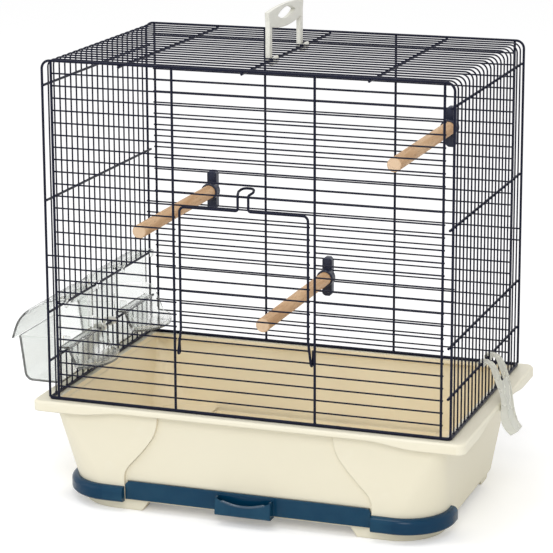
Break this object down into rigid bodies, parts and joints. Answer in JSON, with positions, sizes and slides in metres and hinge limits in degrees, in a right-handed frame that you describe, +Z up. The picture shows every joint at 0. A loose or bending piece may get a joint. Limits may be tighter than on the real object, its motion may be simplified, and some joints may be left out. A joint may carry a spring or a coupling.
{
  "type": "bird cage",
  "caption": "Rectangular wire bird cage on a flared moulded tray with a pull-out drawer, front door, hooded feeders, wooden perches and a carrying handle.",
  "frame": {"origin": "centre of the bounding box on the surface that the feet stand on, under the middle of the cage", "axes": "+Z up, the door and the drawer pull face -Y, the feeders are on -X"},
  "size_m": [0.4964, 0.28, 0.493],
  "materials": {
    "wire": "glossy dark blue-black coating",
    "tray": "smooth cream moulding",
    "trim": "glossy petrol blue moulding",
    "clear": "clear moulding",
    "clip": "milky translucent moulding",
    "handle": "smooth cream moulding",
    "wood": "plain turned wood",
    "holder": "dark moulding"
  },
  "bodies": {
    "body": {"foot_ring": "wire", "thin_hoops": "wire", "end_hoops": "wire", "hoop_stubs": "wire", "left_runs": "wire", "right_runs": "wire", "top_runs": "wire", "front_posts": "wire", "back_posts": "wire", "front_bars": "wire", "back_bars": "wire", "tray": "tray", "trim_left": "trim", "trim_right": "trim"},
    "door": {"door_frame": "wire", "door_wires": "wire"},
    "drawer": {"drawer": "tray", "drawer_front": "trim"},
    "handle": {"handle": "handle"},
    "clip_left": {"clip_left": "clip"},
    "clip_right": {"clip_right": "clip"},
    "feeder_front": {"feeder_cup_front": "clear"},
    "hood_front": {"feeder_hood_front": "clear"},
    "feeder_rear": {"feeder_cup_rear": "clear"},
    "hood_rear": {"feeder_hood_rear": "clear"},
    "perch_left": {"perch_dowel_left": "wood", "perch_holder_left": "holder"},
    "perch_middle": {"perch_dowel_middle": "wood", "perch_holder_middle": "holder"},
    "perch_right": {"perch_dowel_right": "wood", "perch_holder_right": "holder"}
  },
  "joints": [
    {"name": "door_swing", "type": "hinge", "parent": "body", "child": "door", "pos_m": [0.0102, -0.128, 0.17], "axis": [1, 0, 0], "range_deg": [0, 130]},
    {"name": "drawer_slide", "type": "slide", "parent": "body", "child": "drawer", "axis": [0, -1, 0], "range_m": [0, 0.2]},
    {"name": "handle_swing", "type": "hinge", "parent": "body", "child": "handle", "pos_m": [0.0102, 0, 0.444], "axis": [0, 1, 0], "range_deg": [-60, 78]},
    {"name": "clip_right_swing", "type": "hinge", "parent": "body", "child": "clip_right", "pos_m": [0.2122, 0.0065, 0.149], "axis": [0, -1, 0], "range_deg": [0, 55]},
    {"name": "clip_left_swing", "type": "hinge", "parent": "body", "child": "clip_left", "pos_m": [-0.1918, 0.0065, 0.149], "axis": [0, 1, 0], "range_deg": [0, 55]},
    {"name": "feeder_lift_front", "type": "slide", "parent": "body", "child": "feeder_front", "axis": [0, 0, 1], "range_m": [0, 0.02]},
    {"name": "hood_tilt_front", "type": "hinge", "parent": "feeder_front", "child": "hood_front", "pos_m": [-0.1982, -0.0585, 0.198], "axis": [0, 1, 0], "range_deg": [0, 60]},
    {"name": "feeder_lift_rear", "type": "slide", "parent": "body", "child": "feeder_rear", "axis": [0, 0, 1], "range_m": [0, 0.02]},
    {"name": "hood_tilt_rear", "type": "hinge", "parent": "feeder_rear", "child": "hood_rear", "pos_m": [-0.1982, 0.0845, 0.198], "axis": [0, 1, 0], "range_deg": [0, 60]},
    {"name": "perch_pull_left", "type": "slide", "parent": "body", "child": "perch_left", "axis": [0, -1, 0], "range_m": [0, 0.03]},
    {"name": "perch_pull_middle", "type": "slide", "parent": "body", "child": "perch_middle", "axis": [0, -1, 0], "range_m": [0, 0.03]},
    {"name": "perch_pull_right", "type": "slide", "parent": "body", "child": "perch_right", "axis": [0, -1, 0], "range_m": [0, 0.03]}
  ]
}
